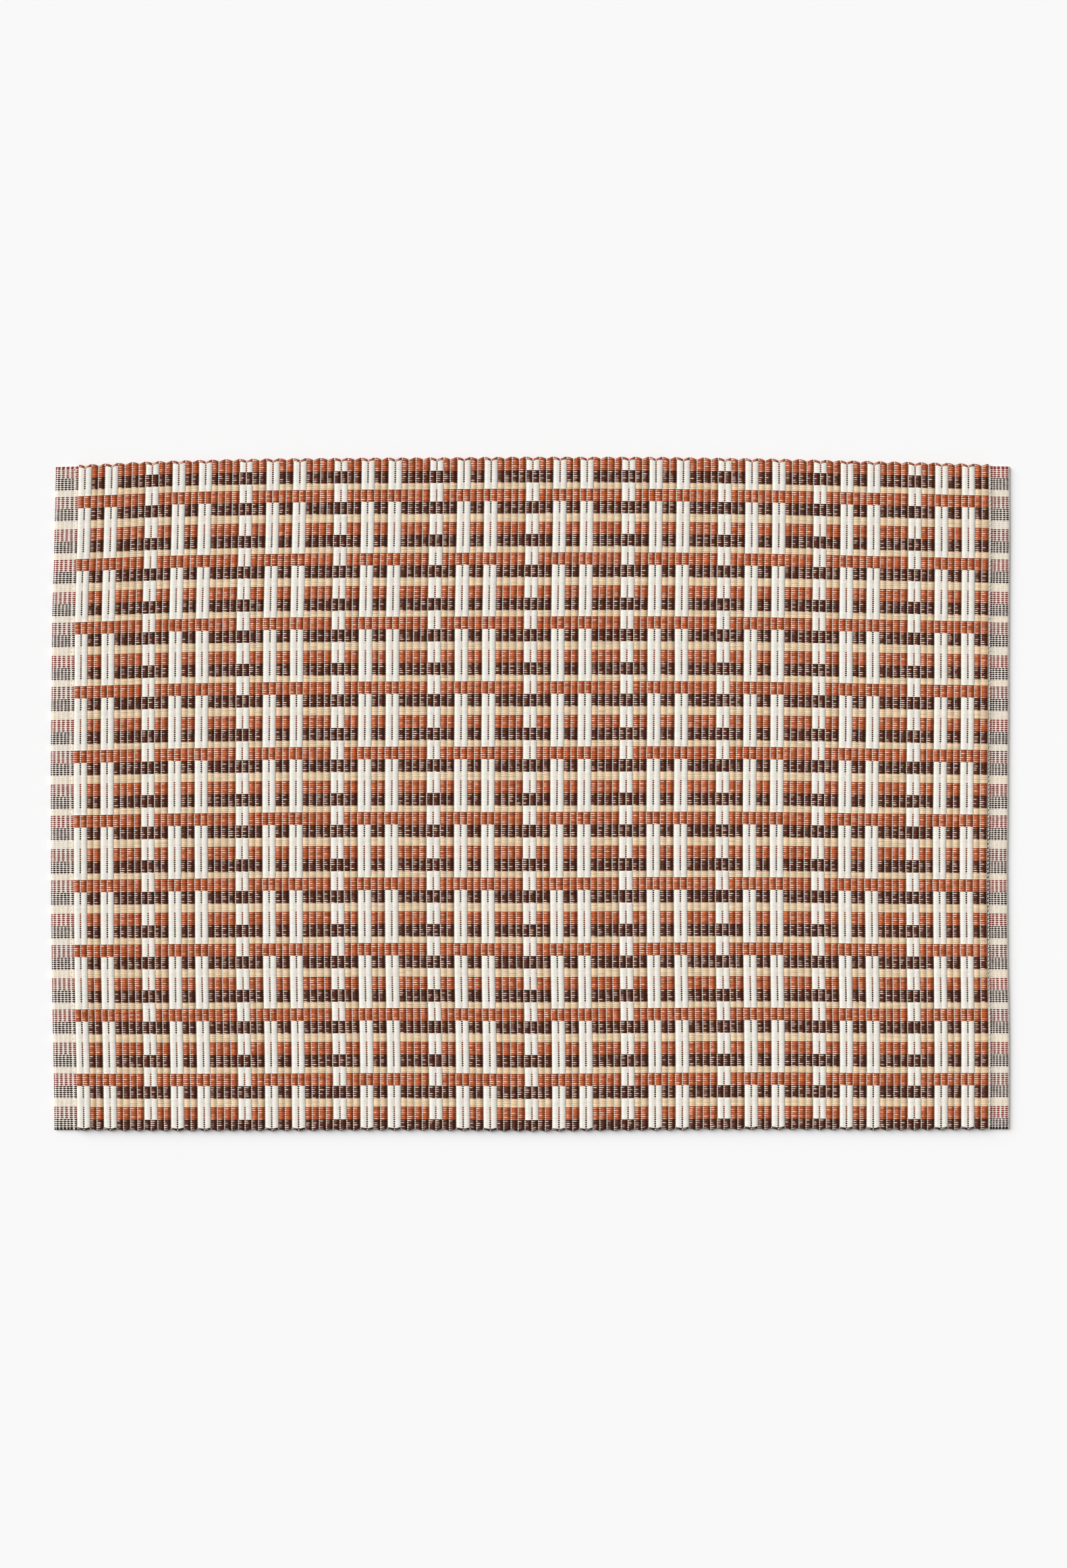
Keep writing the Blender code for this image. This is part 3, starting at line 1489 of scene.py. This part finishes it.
@dataclass(frozen=True)
class RibbedFinish:
    """The ribbed weave: floats over the cords, beads between them, painted shade in the grooves, and
    glints that are partly the hidden yarn and partly painted highlight on each rib's side toward the
    light.

    Lengths along the warp are in ribs, and across it in yarn pairs. A pair of numbers is where a fade
    starts and where it ends.
    """

    cloth: Cloth
    dyes: Dyes = field(default_factory=Dyes)
    jag: float = 0.08
    pale_from: float = 1.25
    # Glints: the hidden yarn between two floats, brightened as a painted highlight and set left of each
    # crest, toward the light.
    glint_height: float = 0.24
    glint_centre: Spread = Spread(0.16, 0.22)
    glint_reach: Spread = Spread(0.16, 0.20)
    glint_edge: tuple[float, float] = (1.1, 0.1)
    glint_luck: tuple[float, float] = (0.05, 0.9)
    glint_light: Spread = Spread(0.45, 0.50)
    glint_on_cream: float = 0.05
    luck_seed: float = 1.0
    more_luck_seed: float = 3.0
    crown: tuple[float, float] = (0.34, 0.04)
    crown_dark: Spread = Spread(0.34, 0.50)
    cream_gap: float = 0.16
    dyed_gap: float = 0.25
    bead_height: float = 0.38
    bead_edge: tuple[float, float] = (1.2, 0.75)
    bead_tone: Spread = Spread(0.34, 0.85)
    # Cream beads take a share of the dye beside them as painted reflected light.
    bead_reflected_dye: float = 0.19
    bead_paleness: float = 0.45
    faint_bead: float = 0.35
    # The grooves: painted shade beside the beads, and a tint that is painted reflected light from the
    # yarns beside, partly fibres of the beads.
    pit: tuple[float, float] = (0.17, 0.08)
    pit_painted_shade: float = 0.10
    pit_reflection_and_fibres: float = 0.24
    edge_dark: float = 0.22
    rounding: float = 1.9
    float_rise: Spread = Spread(0.04 * MM, 0.05 * MM)
    bead_rise: float = 0.08 * MM
    ply_rise: float = 0.004 * MM
    ply_turns: tuple[float, float] = (48.0, 7.0)
    ply_waver: float = 9.0
    waver_scale: float = 900.0
    waver_detail: float = 1.0
    barrel: Spread = Spread(0.04 * MM, -1.15 * MM)
    barrel_fade: tuple[float, float] = (0.0, 0.92)

    def _tops(self, graph: WovenGraph, under: Wire) -> Tops:
        """Find which yarns are on top.

        Args:
            graph: the material's nodes.
            under: 1 on the underside, where the yarns change over.

        Returns:
            The kinds of the ribs beside the groove, and 1 for the dyed yarn on each side and here.
        """
        groove = graph.along.round()
        off = graph.along - groove
        kinds = [graph.kind(groove - 0.5), graph.kind(groove + 0.5)]
        left, right = (abs(graph.dot(kind, graph.lifts) - under).most(graph.outermost) for kind in kinds)
        change = right - left
        first, second = (left + (off > jag) * change for jag in (self.jag, -self.jag))
        least = first.least(second)
        dyed_row = graph.outermost.most(graph.pairs.fract() < 0.5)
        here = least + dyed_row * (first.most(second) - least)
        return Tops(*kinds, left, right, here)

    def _beads(self, graph: WovenGraph, tops: Tops, aside: Wire) -> tuple[Wire, Wire]:
        """Set a bead of the hidden yarn in the groove between two ribs alike.

        Args:
            graph: the material's nodes.
            tops: which yarns are on top.
            aside: the distance from the groove.

        Returns:
            Where the beads are, and their colour.
        """
        dye = graph.dye
        both = tops.left.least(tops.right)
        from_bead = graph.from_dyed + both * (graph.from_cream - graph.from_dyed)
        gap = both * (self.cream_gap - self.dyed_gap) + self.dyed_gap
        round_off = (aside / gap) ** 2.0 + (from_bead / self.bead_height) ** 2.0
        like = 1.0 - abs(tops.right - tops.left)
        faint = tops.left_kind.part(1) * tops.right_kind.part(0) * like * self.faint_bead
        bead = like * round_off.fade(*self.bead_edge) * (1.0 - faint)
        pale = dye.part(1).fade(*STRAW_FROM_RUST) * self.bead_paleness
        dyed_bead = graph.blend(pale, graph.shade(dye, self.bead_tone.at(dye.part(1))), self.dyes.cream)
        # The cream bead's share of the dye beside it is painted reflected light.
        cream_bead = graph.blend(self.bead_reflected_dye, self.dyes.cream, dye)
        return bead, graph.blend(both, dyed_bead, cream_bead)

    def build(self) -> bpy.types.Material:
        """Build the material.

        Returns:
            The finish of the ribbed cloth.
        """
        graph = WovenGraph("ribbed_weave", self.cloth, self.dyes)
        dye, along, cream = graph.dye, graph.along, self.dyes.cream
        under = graph.place().part(2) < self.cloth.thickness / 2
        tops = self._tops(graph, under)
        up = tops.here
        from_top = graph.from_cream + up * (graph.from_dyed - graph.from_cream)
        base = graph.blend(up, cream, dye)
        depth = (base.part(1) * -self.pale_from + 1.0).most(0.0)

        valley = (graph.pairs + (1.0 - up) * 0.5).floor()
        luck = graph.chance(along.floor(), valley, under + self.luck_seed)
        more_luck = graph.chance(along.floor(), valley, under + self.more_luck_seed)
        # Glints, partly the hidden yarn and partly painted highlight, centred left of the crest toward
        # the light.
        sideways = (along.fract() - self.glint_centre.at(more_luck)) / self.glint_reach.at(luck)
        upwards = (0.5 - from_top) * (1 / self.glint_height)
        lens = sideways**2.0 + upwards**2.0
        glint = lens.fade(*self.glint_edge) * luck.fade(*self.glint_luck)
        light = graph.blend(self.glint_light.at(luck), dye, self.dyes.blush)
        strength = glint * (up * depth + self.glint_on_cream)
        floats = graph.blend(strength, base, graph.blend(up, dye, light))

        aside = abs(along - along.round())
        bead, bead_colour = self._beads(graph, tops, aside)
        both = tops.left.least(tops.right)
        # Painted shade in the grooves, darker toward the groove except on the beads.
        pit = aside.fade(*self.pit) * (1.0 - bead)
        pit_shade = (both + 1.0 + abs(tops.right - tops.left)) * self.pit_painted_shade
        dark = 1.0 - from_top.fade(*self.crown) * depth * self.crown_dark.at(more_luck)
        dark = dark * (1.0 - pit * pit_shade) * (1.0 - graph.outermost * self.edge_dark)
        # The grooves are tinted toward the dye beside white ribs as painted reflected light, and toward
        # blush between dyed ribs, partly as fibres of the beads.
        floats = graph.blend(pit * self.pit_reflection_and_fibres, floats, graph.blend(both, dye, self.dyes.blush))
        colour = graph.blend(bead, graph.shade(floats, dark), bead_colour)

        rounded = (1.0 - (from_top * self.rounding) ** 2.0).root()
        waver = graph.noise(self.waver_scale, self.waver_detail) * self.ply_waver
        ply = (along * self.ply_turns[0] + graph.pairs * self.ply_turns[1] + waver).sine()
        sides = abs(along.fract() * 2.0 - 1.0)
        relief = rounded * self.float_rise.at(up) + bead * self.bead_rise + ply * self.ply_rise
        barrel = sides.fade(*self.barrel_fade) * self.barrel.at(depth)
        return graph.dress(colour, along, relief + barrel)


@dataclass(frozen=True)
class HemFinish:
    """The plain weave of a hem: short dyed floats in columns on a cream ground."""

    cloth: Cloth
    shape: HemShape
    dyes: Dyes = field(default_factory=Dyes)
    half_float: float = 0.94
    dot_height: float = 0.42
    float_height: float = 0.32
    cream_reach: float = 1.25
    scatter: float = 0.25
    dyed_edge: tuple[float, float] = (1.15, 0.80)
    cream_edge: tuple[float, float] = (1.3, 0.6)
    edge_place: float = 0.55
    edge_height: float = 1 / 2.3
    end_reach: float = 2.0
    scatter_seed: float = 5.0
    rounding: float = 3.8
    yarn_rise: float = 0.07 * MM
    float_rise: float = 0.07 * MM
    ink: float = 0.13
    straw_paleness: float = 0.40
    tinge: float = 0.32
    hollow: float = 1.09
    floats_a_mm: float = 0.6

    def _picks(self, graph: WovenGraph, picks: tuple[float, ...]) -> Wire:
        """Raise a ridge that peaks at each pick.

        Args:
            graph: the material's nodes.
            picks: where the picks lie, in millimetres from the fold.

        Returns:
            White on a pick, and black between picks.
        """
        size = self.shape.section[-1][0]
        black, white = (0.0, 0.0, 0.0), (1.0, 1.0, 1.0)
        stops = []
        for index, pick in enumerate(picks):
            before = picks[index - 1] if index else pick - self.end_reach
            after = picks[index + 1] if index + 1 < len(picks) else pick + self.end_reach
            reach = min(self.half_float, (pick - before) / 2, (after - pick) / 2)
            stops += [(pick - reach, black), (pick, white), (pick + reach, black)]
        inside = [(place / size, colour) for place, colour in stops if 0.0 <= place <= size]
        return graph.steps(graph.along / size, inside, smooth=True)

    def build(self) -> bpy.types.Material:
        """Build the material.

        Returns:
            The finish of the hem.
        """
        graph = WovenGraph(f"plain_weave_{self.shape.end.name.lower()}", self.cloth, self.dyes)
        dye, cream = graph.dye, self.dyes.cream
        brown = graph.lifts.part(2)
        dark = self._picks(graph, self.shape.brown_picks)
        rust = self._picks(graph, self.shape.rust_picks)
        ridge = graph.blend(brown, rust, dark).part(0)

        floats = graph.along * self.floats_a_mm
        luck = graph.chance(graph.pairs.floor(), floats.round(), self.scatter_seed)
        scatter = luck * self.scatter
        on_pick = (1.0 - ridge) ** 2.0
        dot = on_pick + (graph.from_dyed / self.dot_height) ** 2.0 + scatter
        stroke = on_pick + ((graph.inwards - self.edge_place) / self.edge_height) ** 2.0
        edge = graph.outermost * stroke.fade(*self.dyed_edge)
        dyed_float = dot.fade(*self.dyed_edge).most(edge)
        off_pick = (ridge * self.cream_reach) ** 2.0
        between = off_pick + (graph.from_cream / self.float_height) ** 2.0 + scatter
        cream_float = between.fade(*self.cream_edge)

        straw = dye.part(1).fade(*STRAW_FROM_RUST)
        deep = graph.blend(brown, self.dyes.wine, graph.shade(dye, self.ink))
        ink = graph.blend(straw, deep, graph.blend(self.straw_paleness, dye, cream))
        tint = graph.blend(brown, dye, self.dyes.rust)
        hollow = graph.shade(graph.blend(self.tinge, cream, tint), self.hollow)
        colour = graph.blend(dyed_float, graph.blend(cream_float, hollow, cream), ink)

        from_top = graph.from_dyed.least(graph.from_cream)
        rounded = (1.0 - (from_top * self.rounding) ** 2.0).root()
        relief = rounded * self.yarn_rise + dyed_float.most(cream_float) * self.float_rise
        return graph.dress(colour, floats, relief)


@dataclass(frozen=True)
class ThreadFinish:
    """Cream sewing thread."""

    colour: Colour = (0.84, 0.78, 0.69)
    ply_along: float = 15000.0
    ply_across: float = 9000.0
    ply_rise: float = 0.015 * MM
    ply_strength: float = 0.7
    tone: Spread = Spread(0.93, 0.05)

    def build(self) -> bpy.types.Material:
        """Build the material.

        Returns:
            The finish of the stitches.
        """
        graph = Graph("sewing_thread")
        place = graph.place()
        ply = (place.part(1) * self.ply_along + place.part(0) * self.ply_across).sine()
        graph.set("Base Color", graph.shade(self.colour, self.tone.at(ply)))
        graph.bump(ply * self.ply_rise, self.ply_strength)
        CottonSurface().apply(graph)
        return graph.material


@dataclass
class Placemat:
    """The whole mat."""

    cloth: Cloth = field(default_factory=Cloth)

    def build(self) -> list[bpy.types.Object]:
        """Build and dress every piece and tie it to the frame.

        Returns:
            The mat's pieces.
        """
        lengths = RibbedCloth(self.cloth).build(RibbedFinish(self.cloth).build())
        for piece in lengths:
            ribs = round(float(np.ptp(weave_of(piece.data)[:, 0])))
            LOG.info("%s: %d ribs, %d faces", piece.name, ribs, len(piece.data.polygons))
        pieces = list(lengths)
        thread = ThreadFinish().build()
        for shape in (LEFT_HEM, RIGHT_HEM):
            hem = Hem(self.cloth, shape=shape)
            folded = hem.build(HemFinish(self.cloth, shape).build())
            tack = BACK_TACK if shape.end is End.LEFT else ()
            stitches = HemStitches(hem, tack=tack).build(thread)
            LOG.info("%s: %d faces", folded.name, len(folded.data.polygons))
            LOG.info("%s: %d faces", stitches.name, len(stitches.data.polygons))
            pieces += [folded, stitches]
        for piece in pieces:
            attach(piece, BODY)
        for piece in lengths:
            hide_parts(NODE)
        return pieces


@dataclass
class Studio:
    """The white table that the mat lies on, its light and the camera above it."""

    frame_height: float = 0.8146
    lens: float = 85.0
    sensor: float = 36.0
    middle: tuple[float, float] = (0.00175, 0.00526)
    table_tone: float = 0.94
    sun: float = 3.45
    sun_angle: float = 58.0
    sun_turn: tuple[float, float, float] = (52.0, 0.0, 236.0)
    sun_place: Place = (-1.0, 1.0, 1.5)
    sky: float = 0.33
    table_size: float = 6.0
    table_gap: float = 0.0001
    focus: float = 0.003
    nearest: float = 0.05

    def _table(self) -> None:
        """Lay the white table under the mat."""
        bpy.ops.mesh.primitive_plane_add(size=self.table_size, location=(0.0, 0.0, -self.table_gap))
        table = bpy.context.object
        table.name = "white_table"
        graph = Graph("white_table")
        graph.set("Base Color", (self.table_tone,) * 3)
        graph.set("Roughness", 1.0)
        graph.set("Specular IOR Level", 0.0)
        table.data.materials.append(graph.material)

    def _lights(self) -> None:
        """Light it from the upper left, softly, with plenty of light from all round."""
        turn = [math.radians(angle) for angle in self.sun_turn]
        bpy.ops.object.light_add(type="SUN", location=self.sun_place, rotation=turn)
        sun = bpy.context.object
        sun.name = "window_light"
        sun.data.energy = self.sun
        sun.data.angle = math.radians(self.sun_angle)
        world = bpy.data.worlds.new("bright_room")
        world.use_nodes = True
        background = world.node_tree.nodes["Background"]
        background.inputs["Strength"].default_value = self.sky
        background.inputs["Color"].default_value = (1.0, 1.0, 1.0, 1.0)
        bpy.context.scene.world = world

    def _camera(self) -> None:
        """Hang the camera straight above, as high as the photograph's."""
        distance = self.lens * self.frame_height / self.sensor
        place = (*self.middle, distance + self.focus)
        bpy.ops.object.camera_add(location=place, rotation=(0.0, 0.0, 0.0))
        camera = bpy.context.object
        camera.name = "camera_above"
        camera.data.lens = self.lens
        camera.data.sensor_width = self.sensor
        camera.data.clip_start = self.nearest
        bpy.context.scene.camera = camera

    def build(self) -> None:
        """Set the table, the lights and the camera."""
        self._table()
        self._lights()
        self._camera()
        bpy.context.scene.view_settings.view_transform = "Standard"
        LOG.info("studio: camera and lights set")


def main() -> None:
    """Load the frame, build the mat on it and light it."""
    logging.basicConfig(level=logging.INFO, format="%(name)s %(message)s")
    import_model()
    Placemat().build()
    Studio().build()


if __name__ == "__main__":
    main()
